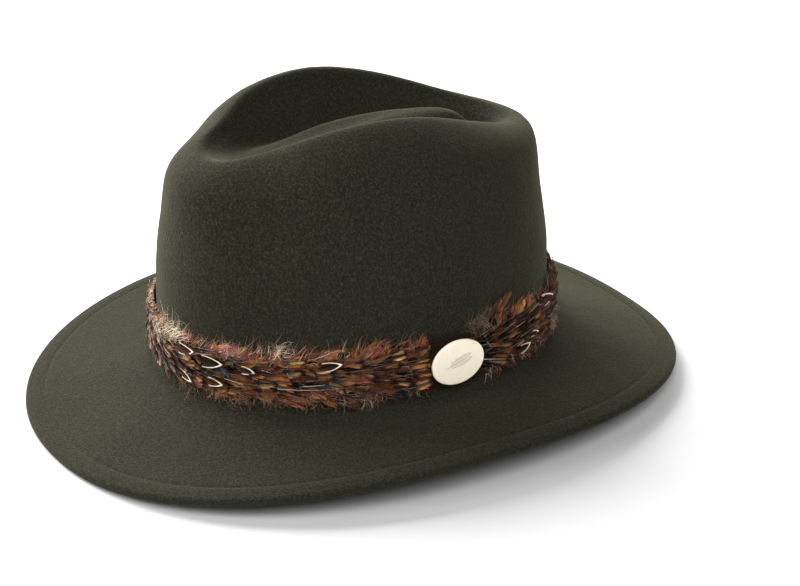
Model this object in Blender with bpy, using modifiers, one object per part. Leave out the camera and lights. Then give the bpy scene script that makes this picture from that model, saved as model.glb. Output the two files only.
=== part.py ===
"""A wool felt fedora with a feather wrap round its crown.

Metres, +Z up. The hat stands on its brim with the origin under the middle of it.
The front is at -Y and the wearer's left at +X. An angle round the hat starts at the
front and grows towards the wearer's left, which is at a quarter turn.
"""

import math

import bmesh
import bpy
from mathutils import Matrix, Vector

GAP = 0.0004  # between pieces that lie on each other
ANGLE_STEPS = 48  # stretches round the hat
SPAN_STEPS = 2  # rows between one section and the next
STITCH_STEPS = 72
REED_STEPS = 48

# Brim
FELT = 0.0022
BRIM_REACH = 0.1692  # from the middle to the edge, front and back
BRIM_HALF_WIDTH = 0.1368
BRIM_SQUARE = 2.22  # 2 is an ellipse, more is squarer
SIDE_LIFT = 0.0146  # how much higher the edge is at the sides than in front
WELT_THICKNESS = 0.0048  # the edge, where the felt is folded under
WELT_RETURN = 0.0095  # how far the folded layer runs back inwards
WELT_STITCH = 0.0080  # from the edge to the line of stitches
FOLD_STEPS = 5
THREAD_RADIUS = 0.00028

# Crown, from its foot up
CROWN_FRONT, CROWN_BACK, CROWN_HALF = 0.1030, 0.1022, 0.0848
FOOT_FRONT_Z, FOOT_SIDE_Z, FOOT_BACK_Z = 0.0306, 0.0334, 0.0284
FILLET = 0.0053  # from the crown's foot down to the brim
RIDGE_Z = (0.1380, 0.1520, 0.1549, 0.1432, 0.1272)  # from the front to the back
GROOVE_FRONT_Z, GROOVE_SIDE_Z, GROOVE_BACK_Z = 0.1340, 0.1283, 0.1200
DOME_Z = 0.1398  # the middle of the crown, between the two grooves
PINCH = 0.0050  # depth of the two dents beside the front
PINCH_ANGLE = math.radians(42)
PINCH_SPREAD = math.radians(15)

# Sweatband and what is on it, with heights above the crown's foot
SWEATBAND = 0.0010
SWEATBAND_HEIGHT = 0.0310
SWEATBAND_FOOT = 0.0032
SEAM_GAP = 0.0012
REED_RADIUS = 0.0011
SEAM_STITCH_UP = 0.0035  # from the sweatband's lower edge to its stitches
TAB_WIDTH, TAB_HEIGHT, TAB, TAB_UP = 0.0110, 0.0230, 0.0008, 0.0055
LABEL_WIDTH, LABEL_HEIGHT, LABEL, LABEL_UP = 0.0240, 0.0130, 0.0005, 0.0100
LABEL_ANGLE = math.radians(160)
BOW_LOOP, BOW_WIRE, BOW_KNOT, BOW_UP = 0.0052, 0.0009, 0.0024, 0.0130

# Feather wrap, with heights above the crown's foot
WRAP_GAP = 0.0010  # between the felt and the leather, for the heads of the posts
WRAP_LEATHER = 0.0012
WRAP_FOOT = 0.0008
WRAP_HEIGHT = 0.0230
WRAP_JOINT = math.radians(93.5)  # angle of the badge, over the ends of the leather
WRAP_END_GAP = 0.0040
KEEPER_WIDTH, KEEPER_HEIGHT, KEEPER = 0.0290, 0.0235, 0.0012
BADGE_HALF_WIDTH, BADGE_HALF_HEIGHT, BADGE = 0.0151, 0.0114, 0.0014
BADGE_DOWN = 0.0010  # how far its middle is below the middle of the leather
BADGE_RIM = 0.0004
POST_RADIUS, POST_HOLE, POST_SPACING = 0.0005, 0.0009, 0.0120
POST_HEAD_RADIUS, POST_HEAD = 0.0013, 0.0004
BUNDLES = 16
BUNDLE_FOOT = 0.0006
BUNDLE_HEIGHT = 0.0270
BUNDLE_ROOT, BUNDLE_TIP = 0.0022, 0.0040  # thickness at the quills and at the tips
BUNDLE_SPACE = math.radians(0.25)  # left free at each end of a bundle


# Shape of the hat -------------------------------------------------------------


def evenly(front, side, back):
    """Five heights, from the front to the back, which pass evenly through these three."""
    return (front, side + (front - side) / 4, side, side + (back - side) / 4, back)


def between(low, high, shares):
    return tuple(a + (b - a) * share for a, b, share in zip(low, high, shares))


class Section:
    """A closed curve round the hat, the same on both sides of X = 0.

    It reaches `front` towards -Y, `back` towards +Y and `half` to each side. It passes
    through the five `heights` where the cosine of the angle is 1, 1/2, 0, -1/2 and -1.
    `square` is its squareness, and `pinch` the share of the two front dents it takes.
    """

    def __init__(self, front, back, half, heights, square=2.0, pinch=0.0):
        self.reach = (front, back)
        self.half = half
        self.heights = heights
        self.square = square
        self.pinch = pinch

    def at(self, angle):
        c, s = math.cos(angle), math.sin(angle)
        size = (abs(c) ** self.square + abs(s) ** self.square) ** (-1 / self.square)
        turn = (abs(math.remainder(angle, math.tau)) - PINCH_ANGLE) / PINCH_SPREAD
        size *= 1 - self.pinch * PINCH * math.exp(-turn * turn) / self.reach[0]
        weights = (
            c * (c + 1) * (4 * c * c - 1) / 6,
            -4 / 3 * c * (c * c - 1) * (2 * c + 1),
            (c * c - 1) * (4 * c * c - 1),
            -4 / 3 * c * (c * c - 1) * (2 * c - 1),
            c * (c - 1) * (4 * c * c - 1) / 6,
        )
        height = sum(w * z for w, z in zip(weights, self.heights))
        return Vector((self.half * s * size, -self.reach[c < 0] * c * size, height))


def crown_sections():
    """From the middle of the crown's top, over the ridge and down to its foot."""
    groove = evenly(GROOVE_FRONT_Z, GROOVE_SIDE_Z, GROOVE_BACK_Z)
    foot = evenly(FOOT_FRONT_Z, FOOT_SIDE_Z, FOOT_BACK_Z)
    shoulder = between(foot, RIDGE_Z, evenly(0.895, 0.865, 0.950))
    upper_wall = between(foot, RIDGE_Z, evenly(0.680, 0.660, 0.740))
    lower_wall = between(foot, RIDGE_Z, evenly(0.410, 0.390, 0.450))
    return [
        Section(0.0300, 0.0560, 0.0095, evenly(0.1360, DOME_Z - 0.0013, 0.1345)),
        Section(0.0600, 0.0730, 0.0215, groove),
        Section(0.0735, 0.0825, 0.0330, between(groove, RIDGE_Z, [0.62] * 5), pinch=0.6),
        Section(0.0840, 0.0905, 0.0415, RIDGE_Z, pinch=1.1),
        Section(0.0965, 0.0985, 0.0625, shoulder, pinch=1.0),
        Section(0.0994, 0.0991, 0.0760, upper_wall, pinch=0.9),
        Section(0.1022, 0.1017, 0.0824, lower_wall, pinch=0.4),
        Section(CROWN_FRONT, CROWN_BACK, CROWN_HALF, foot),
    ]


def brim_sections():
    """From under the crown's foot to the edge of the top of the brim."""
    reach = BRIM_REACH - WELT_THICKNESS / 2
    half = BRIM_HALF_WIDTH - WELT_THICKNESS / 2
    start_z = evenly(*(z - FILLET for z in (FOOT_FRONT_Z, FOOT_SIDE_Z, FOOT_BACK_Z)))
    edge_z = evenly(WELT_THICKNESS, WELT_THICKNESS + SIDE_LIFT, WELT_THICKNESS)
    sections = []
    for share, fall in ((0.09, 0.05), (0.38, 0.40), (0.70, 0.73), (1.0, 1.0)):
        sections.append(
            Section(
                CROWN_FRONT + (reach - CROWN_FRONT) * share,
                CROWN_BACK + (reach - CROWN_BACK) * share,
                CROWN_HALF + (half - CROWN_HALF) * share,
                between(start_z, edge_z, [fall] * 5),
                square=2 + (BRIM_SQUARE - 2) * share,
            )
        )
    return sections


SECTIONS = crown_sections() + brim_sections()
FOOT = len(crown_sections()) - 1  # position of the crown's foot
EDGE = len(SECTIONS) - 1  # position of the brim's edge
DOME_TOP = Vector((0, 0.020, DOME_Z))


def hat_point(position, angle):
    """A point of the felt's upper surface, on a smooth curve through the sections.

    Position -1 is the middle of the crown's top, 0 is the first section, and so on.
    """
    index = min(math.floor(position), EDGE - 1)
    a, b, c, d = (corner(index + i, angle) for i in (-1, 0, 1, 2))
    t = position - index
    bend = (2 * a - 5 * b + 4 * c - d) * t**2 + (3 * b - a - 3 * c + d) * t**3
    return 0.5 * (2 * b + (c - a) * t + bend)


def corner(index, angle):
    if index < -1:
        return SECTIONS[0].at(angle + math.pi)
    if index == -1:
        return DOME_TOP
    return SECTIONS[min(index, EDGE)].at(angle)


def crown_wall(angle, height, outwards):
    """A point `height` above the crown's foot and `outwards` from the felt's outer face."""
    foot_z = hat_point(FOOT, angle).z
    low, high = FOOT - 2.0, float(FOOT)
    for _ in range(30):
        middle = (low + high) / 2
        if hat_point(middle, angle).z - foot_z > height:
            low = middle
        else:
            high = middle
    along = hat_point(low, angle + 0.01) - hat_point(low, angle - 0.01)
    normal = Vector((along.y, -along.x, 0)).normalized()
    return hat_point(low, angle) + normal * outwards


def angles(start=0.0, end=math.tau, steps=ANGLE_STEPS):
    return [start + (end - start) * i / steps for i in range(steps + 1)]


def half_angle(width, angle, outwards):
    """Half of the angle that a width takes up on the crown's wall."""
    step = 0.01
    along = crown_wall(angle + step, 0.01, outwards) - crown_wall(angle - step, 0.01, outwards)
    return width / (along.length / step)


# Building blocks --------------------------------------------------------------


def clear_scene():
    for obj in list(bpy.data.objects):
        bpy.data.objects.remove(obj)


def new_collection(name, shown=True):
    collection = bpy.data.collections.new(name)
    bpy.context.scene.collection.children.link(collection)
    collection.hide_render = not shown
    return collection


def material(name, colour, roughness, metallic=0.0):
    made = bpy.data.materials.new(name)
    made.use_nodes = True
    shader = made.node_tree.nodes["Principled BSDF"]
    shader.inputs["Base Color"].default_value = (*colour, 1)
    shader.inputs["Roughness"].default_value = roughness
    shader.inputs["Metallic"].default_value = metallic
    return made


def place(obj, finish, collection):
    """Puts the object in its collection and gives it its material and smooth shading."""
    for old in list(obj.users_collection):
        old.objects.unlink(obj)
    collection.objects.link(obj)
    if finish is not None:
        obj.data.materials.append(finish)
    if obj.type == "MESH":
        obj.data.shade_smooth()
        obj.data.set_sharp_from_angle(angle=math.radians(40))
    return obj


def sheet(name, rows, finish, collection, closed=False, pole=None):
    """A surface through rows of points, which joins each row's ends if closed.

    The rows run outwards from the pole, if there is one, or from the top down.
    """
    points = [point for row in rows for point in row]
    width = len(rows[0])
    faces = []
    for start in range(0, len(points) - width, width):
        for i in range(width if closed else width - 1):
            j = (i + 1) % width
            faces.append((start + i, start + width + i, start + width + j, start + j))
    if pole is not None:
        faces += [(len(points), i, (i + 1) % width) for i in range(width)]
        points.append(pole)
    mesh = bpy.data.meshes.new(name)
    mesh.from_pydata(points, [], faces)
    return place(bpy.data.objects.new(name, mesh), finish, collection)


def thicken(obj, thickness, outwards):
    solid = obj.modifiers.new("thickness", "SOLIDIFY")
    solid.thickness = thickness
    solid.offset = 1 if outwards else -1
    solid.use_even_offset = True
    return obj


def round_edges(obj, width):
    bevel = obj.modifiers.new("rounded", "BEVEL")
    bevel.width = width
    bevel.segments = 2
    bevel.limit_method = "ANGLE"
    bevel.angle_limit = math.radians(40)


def boolean(obj, other, operation):
    change = obj.modifiers.new(operation.lower(), "BOOLEAN")
    change.operation = operation
    change.object = other
    other.hide_render = True
    other.display_type = "WIRE"


def cord_ring(name, points, radius, finish, collection):
    """A closed cord through the points."""
    curve = bpy.data.curves.new(name, "CURVE")
    curve.dimensions = "3D"
    spline = curve.splines.new("POLY")
    spline.points.add(len(points) - 1)
    for target, point in zip(spline.points, points):
        target.co = (*point, 1)
    spline.use_cyclic_u = True
    curve.bevel_depth = radius
    curve.bevel_resolution = 1
    return place(bpy.data.objects.new(name, curve), finish, collection)


def cylinder(name, radius, length, centre, along, collection):
    bpy.ops.mesh.primitive_cylinder_add(vertices=12, radius=radius, depth=length)
    obj = bpy.context.object
    obj.name = name
    obj.location = centre
    obj.rotation_euler = along.to_track_quat("Z", "Y").to_euler()
    return place(obj, None, collection)


def wall_sheet(name, span, heights, outwards, finish, collection, steps, rows=2):
    """A strip of the crown's wall, between two angles and two heights."""
    low, high = heights
    levels = [high + (low - high) * r / (rows - 1) for r in range(rows)]
    grid = [[crown_wall(a, level, outwards) for a in angles(*span, steps)] for level in levels]
    return sheet(name, grid, finish, collection)


def wall_ring(name, height, outwards, radius, finish, collection, steps):
    points = [crown_wall(a, height, outwards) for a in angles(steps=steps)[:-1]]
    return cord_ring(name, points, radius, finish, collection)


# Felt -------------------------------------------------------------------------


def fold_rows():
    """The edge of the brim, rolled under and then run back inwards."""
    radius = WELT_THICKNESS / 2
    rows = [[] for _ in range(FOLD_STEPS + 1)]
    for angle in angles()[:-1]:
        edge = hat_point(EDGE, angle)
        along = (hat_point(EDGE, angle + 0.01) - hat_point(EDGE, angle - 0.01)).normalized()
        outwards = edge - hat_point(EDGE - 0.2, angle)
        outwards = (outwards - along * outwards.dot(along)).normalized()
        upwards = outwards.cross(along)
        centre = edge - upwards * radius
        for step in range(1, FOLD_STEPS + 1):
            turn = math.pi * step / FOLD_STEPS
            arm = upwards * math.cos(turn) + outwards * math.sin(turn)
            rows[step - 1].append(centre + arm * radius)
        rows[FOLD_STEPS].append(centre - upwards * radius - outwards * WELT_RETURN)
    return rows


def felt_body(finish, collection):
    """The crown and brim: one felt, with its edge folded under."""
    rows = []
    for step in range(1, (EDGE + 1) * SPAN_STEPS + 1):
        rows.append([hat_point(step / SPAN_STEPS - 1, angle) for angle in angles()[:-1]])
    rows += fold_rows()
    obj = sheet("felt_body", rows, finish, collection, closed=True, pole=DOME_TOP)
    thicken(obj, FELT, outwards=False)


def brim_stitching(finish, collection):
    """The thread that holds the folded edge, lying on the top of the brim."""
    lift = Vector((0, 0, THREAD_RADIUS + GAP))
    points = []
    for angle in angles(steps=STITCH_STEPS)[:-1]:
        half_span = (hat_point(EDGE, angle) - hat_point(EDGE - 0.5, angle)).length
        share = (WELT_STITCH - WELT_THICKNESS / 2) / half_span
        points.append(hat_point(EDGE - 0.5 * share, angle) + lift)
    cord_ring("brim_stitching", points, THREAD_RADIUS, finish, collection)


# Inside the crown -------------------------------------------------------------

SWEATBAND_OUTER = -(FELT + GAP)
SWEATBAND_INNER = SWEATBAND_OUTER - SWEATBAND


def sweatband(finish, collection):
    gap = half_angle(SEAM_GAP, math.pi, SWEATBAND_OUTER)
    span = (-math.pi + gap, math.pi - gap)
    heights = (SWEATBAND_FOOT, SWEATBAND_FOOT + SWEATBAND_HEIGHT)
    obj = wall_sheet(
        "sweatband", span, heights, SWEATBAND_OUTER, finish, collection, ANGLE_STEPS, rows=3
    )
    thicken(obj, SWEATBAND, outwards=False)


def sweatband_reed(finish, collection):
    """The round reed under the sweatband's lower edge."""
    height = SWEATBAND_FOOT - REED_RADIUS - GAP
    outwards = SWEATBAND_OUTER - REED_RADIUS
    wall_ring("sweatband_reed", height, outwards, REED_RADIUS, finish, collection, REED_STEPS)


def sweatband_stitching(finish, collection):
    height = SWEATBAND_FOOT + SEAM_STITCH_UP
    outwards = SWEATBAND_INNER - GAP - THREAD_RADIUS
    wall_ring(
        "sweatband_stitching", height, outwards, THREAD_RADIUS, finish, collection, STITCH_STEPS
    )


def sweatband_patch(name, angle, size, up, finish, collection):
    """A flat piece on the sweatband's inner face. Its size is width, height, thickness."""
    width, height, thickness = size
    outwards = SWEATBAND_INNER - GAP
    half = half_angle(width, angle, outwards)
    low = SWEATBAND_FOOT + up
    span = (angle - half, angle + half)
    obj = wall_sheet(name, span, (low, low + height), outwards, finish, collection, steps=4)
    thicken(obj, thickness, outwards=False)


def sweatband_seam_tab(finish, collection):
    """The strip over the seam at the back, where the sweatband's ends meet."""
    size = (TAB_WIDTH, TAB_HEIGHT, TAB)
    sweatband_patch("sweatband_seam_tab", math.pi, size, TAB_UP, finish, collection)


def size_label(finish, collection):
    size = (LABEL_WIDTH, LABEL_HEIGHT, LABEL)
    sweatband_patch("size_label", LABEL_ANGLE, size, LABEL_UP, finish, collection)


def sweatband_bow(finish, collection, cutters):
    """A small ribbon bow on the seam tab: a knot with a loop on each side."""
    knot_depth = BOW_KNOT * 0.6
    outwards = SWEATBAND_INNER - GAP * 2 - TAB - knot_depth
    centre = crown_wall(math.pi, SWEATBAND_FOOT + BOW_UP, outwards)
    bpy.ops.mesh.primitive_uv_sphere_add(segments=12, ring_count=8, radius=1, location=centre)
    knot = bpy.context.object
    knot.name = "sweatband_bow"
    knot.scale = (BOW_KNOT * 0.8, knot_depth, BOW_KNOT)
    place(knot, finish, collection)
    for side in (-1, 1):
        bpy.ops.mesh.primitive_torus_add(
            major_segments=20, minor_segments=8, major_radius=BOW_LOOP, minor_radius=BOW_WIRE
        )
        loop = bpy.context.object
        loop.name = "bow_loop"
        loop.location = centre + Vector((side * BOW_LOOP * 1.05, 0, 0))
        loop.rotation_euler = (math.pi / 2, 0, 0)
        loop.scale = (1.0, 0.55, 1.0)
        place(loop, None, cutters)
        boolean(knot, loop, "UNION")


# Feather wrap -----------------------------------------------------------------

WRAP_OUTER = WRAP_GAP + WRAP_LEATHER


def badge_frame():
    """A point of the leather's outer face behind the badge's middle, the direction
    outwards, and the direction along the wrap."""
    height = WRAP_FOOT + WRAP_HEIGHT / 2 - BADGE_DOWN
    centre = crown_wall(WRAP_JOINT, height, WRAP_OUTER)
    step = 0.01
    along = crown_wall(WRAP_JOINT + step, height, WRAP_OUTER)
    along -= crown_wall(WRAP_JOINT - step, height, WRAP_OUTER)
    along.z = 0
    along.normalize()
    upwards = crown_wall(WRAP_JOINT, height + 0.005, WRAP_OUTER)
    upwards -= crown_wall(WRAP_JOINT, height - 0.005, WRAP_OUTER)
    return centre, along.cross(upwards).normalized(), along


def post_starts():
    """Where each of the badge's posts passes the leather's outer face."""
    centre, _, along = badge_frame()
    return [centre + along * (POST_SPACING / 2 * side) for side in (-1, 1)]


def drill_post_holes(obj, cutters):
    _, outwards, _ = badge_frame()
    for point in post_starts():
        hole = cylinder("post_hole", POST_HOLE, 0.012, point, outwards, cutters)
        boolean(obj, hole, "DIFFERENCE")


def wrap_band(finish, collection, cutters):
    """The leather strip that carries the feathers. Its ends meet behind the badge."""
    gap = half_angle(WRAP_END_GAP, WRAP_JOINT, WRAP_GAP)
    span = (WRAP_JOINT + gap, WRAP_JOINT + math.tau - gap)
    heights = (WRAP_FOOT, WRAP_FOOT + WRAP_HEIGHT)
    obj = wall_sheet("wrap_band", span, heights, WRAP_GAP, finish, collection, ANGLE_STEPS)
    thicken(obj, WRAP_LEATHER, outwards=True)
    drill_post_holes(obj, cutters)


def badge_keeper(finish, collection, cutters):
    """The leather patch over the wrap's two ends, which the badge is fixed to."""
    outwards = WRAP_OUTER + GAP
    half = half_angle(KEEPER_WIDTH, WRAP_JOINT, outwards)
    span = (WRAP_JOINT - half, WRAP_JOINT + half)
    heights = (BUNDLE_FOOT, BUNDLE_FOOT + KEEPER_HEIGHT)
    obj = wall_sheet("badge_keeper", span, heights, outwards, finish, collection, steps=6)
    thicken(obj, KEEPER, outwards=True)
    drill_post_holes(obj, cutters)


def badge(finish, collection, cutters):
    """The plain oval metal badge, with two posts whose heads are behind the leather."""
    centre, outwards, along = badge_frame()
    middle = centre + outwards * (GAP * 2 + KEEPER + BADGE / 2)
    turn = Matrix((along, outwards.cross(along), outwards)).transposed().to_4x4()
    bpy.ops.mesh.primitive_cylinder_add(vertices=40, radius=1, depth=BADGE)
    plate = bpy.context.object
    plate.name = "badge"
    plate.data.transform(Matrix.Diagonal((BADGE_HALF_WIDTH, BADGE_HALF_HEIGHT, 1, 1)))
    plate.matrix_world = Matrix.Translation(middle) @ turn
    place(plate, finish, collection)
    round_edges(plate, BADGE_RIM)
    length = BADGE / 2 + KEEPER + WRAP_LEATHER + GAP * 3 + POST_HEAD / 2
    for point in post_starts():
        start = point + middle - centre
        end = start - outwards * length
        post = cylinder("post", POST_RADIUS, length, (start + end) / 2, outwards, cutters)
        head = cylinder("post_head", POST_HEAD_RADIUS, POST_HEAD, end, outwards, cutters)
        boolean(plate, post, "UNION")
        boolean(plate, head, "UNION")


def feather_bundle(index, finish, collection):
    """One of the overlapping bunches along the wrap, thin at the quills and full at
    the tips. The first starts behind the badge, and the last ends in front of it."""
    keeper = half_angle(KEEPER_WIDTH + 0.0020, WRAP_JOINT, WRAP_OUTER)
    pitch = (math.tau - 2 * keeper) / BUNDLES
    root = WRAP_JOINT + keeper + pitch * index
    stations = angles(root + BUNDLE_SPACE, root + pitch - BUNDLE_SPACE, 4)
    middle = BUNDLE_FOOT + BUNDLE_HEIGHT / 2
    rows = []
    for share, angle in zip((0, 0.25, 0.5, 0.75, 1), stations):
        plump = BUNDLE_ROOT + (BUNDLE_TIP - BUNDLE_ROOT) * share
        half = BUNDLE_HEIGHT / 2 * (0.86 + 0.14 * share)
        row = []
        for turn in angles(steps=10)[:-1]:
            outwards = WRAP_OUTER + GAP + plump * (0.5 + 0.5 * math.sin(turn))
            row.append(crown_wall(angle, middle + half * math.cos(turn), outwards))
        rows.append(row)
    obj = sheet(f"feather_bundle_{index + 1:02d}", rows, finish, collection, closed=True)
    close_ends(obj)


def close_ends(obj):
    mesh = bmesh.new()
    mesh.from_mesh(obj.data)
    bmesh.ops.holes_fill(mesh, edges=[edge for edge in mesh.edges if edge.is_boundary])
    bmesh.ops.recalc_face_normals(mesh, faces=mesh.faces)
    mesh.to_mesh(obj.data)
    mesh.free()


def main():
    clear_scene()
    hat = new_collection("fedora_hat")
    cutters = new_collection("cutters", shown=False)

    felt = material("felt", (0.045, 0.050, 0.034), 0.9)
    felt_body(felt, hat)

    thread = material("thread", (0.030, 0.034, 0.024), 0.8)
    brim_stitching(thread, hat)
    sweatband_stitching(thread, hat)

    leather = material("sweatband_leather", (0.055, 0.032, 0.020), 0.5)
    sweatband(leather, hat)
    sweatband_seam_tab(leather, hat)
    sweatband_reed(material("reed", (0.030, 0.028, 0.024), 0.5), hat)
    sweatband_bow(material("ribbon", (0.030, 0.034, 0.024), 0.6), hat, cutters)
    size_label(material("label_satin", (0.62, 0.58, 0.48), 0.5), hat)

    wrap_leather = material("wrap_leather", (0.040, 0.020, 0.010), 0.6)
    wrap_band(wrap_leather, hat, cutters)
    badge_keeper(wrap_leather, hat, cutters)
    badge(material("badge_metal", (0.86, 0.72, 0.50), 0.3, 1.0), hat, cutters)
    feather = material("feather", (0.22, 0.075, 0.025), 0.6)
    for index in range(BUNDLES):
        feather_bundle(index, feather, hat)


main()
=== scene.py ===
"""The looks of a wool felt fedora with a feather wrap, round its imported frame.

Metres, +Z up. The front of the hat is at -Y and the wearer's left at +X. An angle round
the hat starts at the front and grows towards the wearer's left.
"""

import math
from typing import NamedTuple

import bpy
import numpy as np
from mathutils import Matrix, Vector


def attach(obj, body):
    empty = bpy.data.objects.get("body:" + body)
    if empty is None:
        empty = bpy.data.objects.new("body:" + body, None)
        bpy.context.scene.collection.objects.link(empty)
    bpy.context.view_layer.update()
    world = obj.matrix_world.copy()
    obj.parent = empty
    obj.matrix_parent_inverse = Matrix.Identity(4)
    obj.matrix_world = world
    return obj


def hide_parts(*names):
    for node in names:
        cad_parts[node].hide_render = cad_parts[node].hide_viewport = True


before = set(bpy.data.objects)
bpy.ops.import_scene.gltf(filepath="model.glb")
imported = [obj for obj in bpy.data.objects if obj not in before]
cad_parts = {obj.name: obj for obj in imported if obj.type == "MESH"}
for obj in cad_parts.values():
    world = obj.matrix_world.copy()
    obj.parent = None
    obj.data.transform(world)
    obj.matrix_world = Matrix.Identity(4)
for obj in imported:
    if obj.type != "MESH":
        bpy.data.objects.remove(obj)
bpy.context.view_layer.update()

TAU = math.tau
MM = 0.001

# The felt's shape, as the frame has it
FELT = 2.2 * MM
BRIM_REACH, BRIM_HALF_WIDTH, BRIM_SQUARE = 0.1692, 0.1368, 2.22
SIDE_LIFT = 0.0146
WELT_THICKNESS, WELT_RETURN, WELT_STITCH = 4.8 * MM, 9.5 * MM, 8.0 * MM
CROWN_FRONT, CROWN_BACK, CROWN_HALF = 0.1030, 0.1022, 0.0848
FOOT_FRONT_Z, FOOT_SIDE_Z, FOOT_BACK_Z = 0.0306, 0.0334, 0.0284
FILLET = 5.3 * MM
RIDGE_Z = (0.1380, 0.1520, 0.1549, 0.1432, 0.1272)
GROOVE_FRONT_Z, GROOVE_SIDE_Z, GROOVE_BACK_Z = 0.1340, 0.1283, 0.1200
DOME_Z = 0.1398
PINCH, PINCH_ANGLE, PINCH_SPREAD = 5.0 * MM, math.radians(42), math.radians(15)
GAP = 0.4 * MM

# The wrap's places, as the frame has them
WRAP_GAP, WRAP_LEATHER = 1.0 * MM, 1.2 * MM
WRAP_FOOT, WRAP_HEIGHT = 0.8 * MM, 23.0 * MM
WRAP_JOINT = math.radians(93.5)
WRAP_END_GAP = 4.0 * MM
KEEPER_WIDTH, KEEPER_HEIGHT, KEEPER = 29.0 * MM, 23.5 * MM, 1.2 * MM
BADGE_HALF_WIDTH, BADGE_HALF_HEIGHT, BADGE = 15.1 * MM, 11.4 * MM, 1.4 * MM
BADGE_DOWN = 1.0 * MM
BUNDLES = 16
BUNDLE_FOOT, BUNDLE_HEIGHT = 0.6 * MM, 27.0 * MM
WRAP_OUTER = WRAP_GAP + WRAP_LEATHER
LEATHER_EDGE = 0.3 * MM  # how round the leather's edges are

# The sweatband's places, as the frame has them
SWEATBAND, SWEATBAND_HEIGHT, SWEATBAND_FOOT = 1.0 * MM, 31.0 * MM, 3.2 * MM
SWEATBAND_OUTER = -(FELT + GAP)
SWEATBAND_INNER = SWEATBAND_OUTER - SWEATBAND
SEAM_GAP, REED_RADIUS, SEAM_STITCH_UP = 1.2 * MM, 1.1 * MM, 3.5 * MM
TAB_WIDTH, TAB_HEIGHT, TAB, TAB_UP = 11.0 * MM, 23.0 * MM, 0.8 * MM, 5.5 * MM
LABEL_WIDTH, LABEL_HEIGHT, LABEL, LABEL_UP = 24.0 * MM, 13.0 * MM, 0.5 * MM, 10.0 * MM
LABEL_ANGLE = math.radians(160)
BOW_LOOP, BOW_KNOT, BOW_UP = 5.2 * MM, 2.4 * MM, 13.0 * MM


# The hat's surface --------------------------------------------------------------


def evenly(front, side, back):
    """Five heights, from the front to the back, which pass evenly through these three."""
    return (front, side + (front - side) / 4, side, side + (back - side) / 4, back)


def between(low, high, shares):
    return tuple(a + (b - a) * share for a, b, share in zip(low, high, shares))


def section(front, back, half, heights, square=2.0, pinch=0.0):
    """A closed curve round the hat, as a function of an array of angles. It passes through
    the five heights where the cosine of the angle is 1, 1/2, 0, -1/2 and -1."""

    def points(angle):
        c, s = np.cos(angle), np.sin(angle)
        size = (abs(c) ** square + abs(s) ** square) ** (-1 / square)
        turn = (abs((angle + math.pi) % TAU - math.pi) - PINCH_ANGLE) / PINCH_SPREAD
        size = size * (1 - pinch * PINCH * np.exp(-turn * turn) / front)
        reach = np.where(c < 0, back, front)
        weights = (
            c * (c + 1) * (4 * c * c - 1) / 6,
            -4 / 3 * c * (c * c - 1) * (2 * c + 1),
            (c * c - 1) * (4 * c * c - 1),
            -4 / 3 * c * (c * c - 1) * (2 * c - 1),
            c * (c - 1) * (4 * c * c - 1) / 6,
        )
        height = sum(w * z for w, z in zip(weights, heights))
        return np.stack([half * s * size, -reach * c * size, height], -1)

    return points


def crown_sections():
    groove = evenly(GROOVE_FRONT_Z, GROOVE_SIDE_Z, GROOVE_BACK_Z)
    foot = evenly(FOOT_FRONT_Z, FOOT_SIDE_Z, FOOT_BACK_Z)
    shoulder = between(foot, RIDGE_Z, evenly(0.895, 0.865, 0.950))
    upper_wall = between(foot, RIDGE_Z, evenly(0.680, 0.660, 0.740))
    lower_wall = between(foot, RIDGE_Z, evenly(0.410, 0.390, 0.450))
    return [
        section(0.0300, 0.0560, 0.0095, evenly(0.1360, DOME_Z - 0.0013, 0.1345)),
        section(0.0600, 0.0730, 0.0215, groove),
        section(0.0735, 0.0825, 0.0330, between(groove, RIDGE_Z, [0.62] * 5), pinch=0.6),
        section(0.0840, 0.0905, 0.0415, RIDGE_Z, pinch=1.1),
        section(0.0965, 0.0985, 0.0625, shoulder, pinch=1.0),
        section(0.0994, 0.0991, 0.0760, upper_wall, pinch=0.9),
        section(0.1022, 0.1017, 0.0824, lower_wall, pinch=0.4),
        section(CROWN_FRONT, CROWN_BACK, CROWN_HALF, foot),
    ]


def brim_sections():
    reach = BRIM_REACH - WELT_THICKNESS / 2
    half = BRIM_HALF_WIDTH - WELT_THICKNESS / 2
    start_z = evenly(*(z - FILLET for z in (FOOT_FRONT_Z, FOOT_SIDE_Z, FOOT_BACK_Z)))
    edge_z = evenly(WELT_THICKNESS, WELT_THICKNESS + SIDE_LIFT, WELT_THICKNESS)
    sections = []
    for share, fall in ((0.09, 0.05), (0.38, 0.40), (0.70, 0.73), (1.0, 1.0)):
        sections.append(
            section(
                CROWN_FRONT + (reach - CROWN_FRONT) * share,
                CROWN_BACK + (reach - CROWN_BACK) * share,
                CROWN_HALF + (half - CROWN_HALF) * share,
                between(start_z, edge_z, [fall] * 5),
                square=2 + (BRIM_SQUARE - 2) * share,
            )
        )
    return sections


SECTIONS = crown_sections() + brim_sections()
FOOT = len(crown_sections()) - 1
EDGE = len(SECTIONS) - 1
DOME_TOP = np.array([0, 0.020, DOME_Z])


def hat_rows(positions, angles):
    """Points of the felt's upper surface: one row for each position, from the middle of
    the crown's top at -1 to the brim's edge at EDGE, with one point for each angle."""
    rings = [SECTIONS[0](angles + math.pi), np.tile(DOME_TOP, (len(angles), 1))]
    rings += [s(angles) for s in SECTIONS]
    rings.append(rings[-1])
    rings = np.array(rings)
    positions = np.asarray(positions, float)
    index = np.minimum(np.floor(positions).astype(int), EDGE - 1)
    t = (positions - index)[:, None, None]
    a, b, c, d = (rings[index + 2 + i] for i in (-1, 0, 1, 2))
    bend = (2 * a - 5 * b + 4 * c - d) * t**2 + (3 * b - a - 3 * c + d) * t**3
    return 0.5 * (2 * b + (c - a) * t + bend)


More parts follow.
